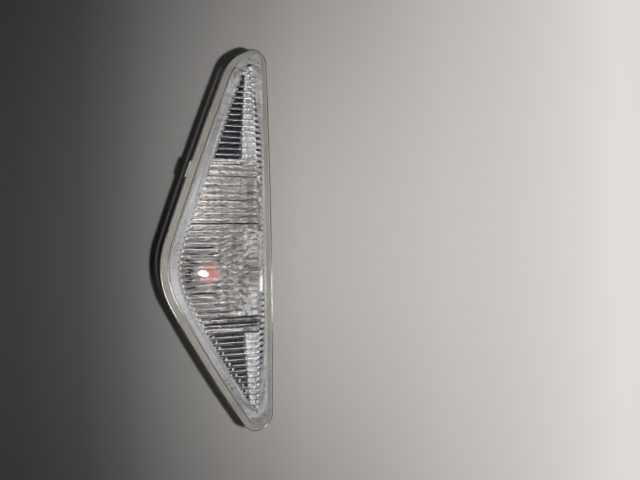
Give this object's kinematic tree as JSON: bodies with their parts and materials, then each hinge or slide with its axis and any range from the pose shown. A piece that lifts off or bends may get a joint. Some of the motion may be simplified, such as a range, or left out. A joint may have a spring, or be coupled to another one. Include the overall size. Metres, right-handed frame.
{
  "type": "side repeater lamp",
  "caption": "Clear-lens side repeater lamp of a long triangular outline: fluted lens, bright reflector, wedge bulb in a twist-lock holder, hook and spring for a body panel.",
  "frame": {"origin": "on the outer skin of the body panel, near the middle of the lamp", "axes": "+X along the lamp towards its long tip, +Y across it towards the peak of its outline, +Z out of the panel through the lens"},
  "size_m": [0.13, 0.0368, 0.0469],
  "materials": {
    "clear_lens": "clear polished acrylic",
    "pale_seal": "soft matt",
    "bright_reflector": "vacuum metallised",
    "black_housing": "smooth moulded",
    "spring_steel": "rolled",
    "black_holder": "satin moulded",
    "gasket_rubber": "matt",
    "contact_brass": "rolled",
    "coated_glass": "thin amber mirror coat",
    "filament_wire": "drawn",
    "lead_wire": "tinned"
  },
  "bodies": {
    "lamp_body": {"lens": "clear_lens", "panel_seal": "pale_seal", "reflector": "bright_reflector", "housing": "black_housing", "retaining_spring": "spring_steel"},
    "bulb_unit": {"bulb_holder": "black_holder", "holder_gasket": "gasket_rubber", "supply_contact": "contact_brass", "earth_contact": "contact_brass", "bulb_glass": "coated_glass", "bulb_filament": "filament_wire", "supply_lead": "lead_wire", "earth_lead": "lead_wire"}
  },
  "joints": [
    {"name": "bulb_holder_turn", "type": "hinge", "parent": "lamp_body", "child": "bulb_unit", "pos_m": [-0.0106, 0.0026, -0.0167], "axis": [0, 0, -1], "range_deg": [0, 45]}
  ]
}
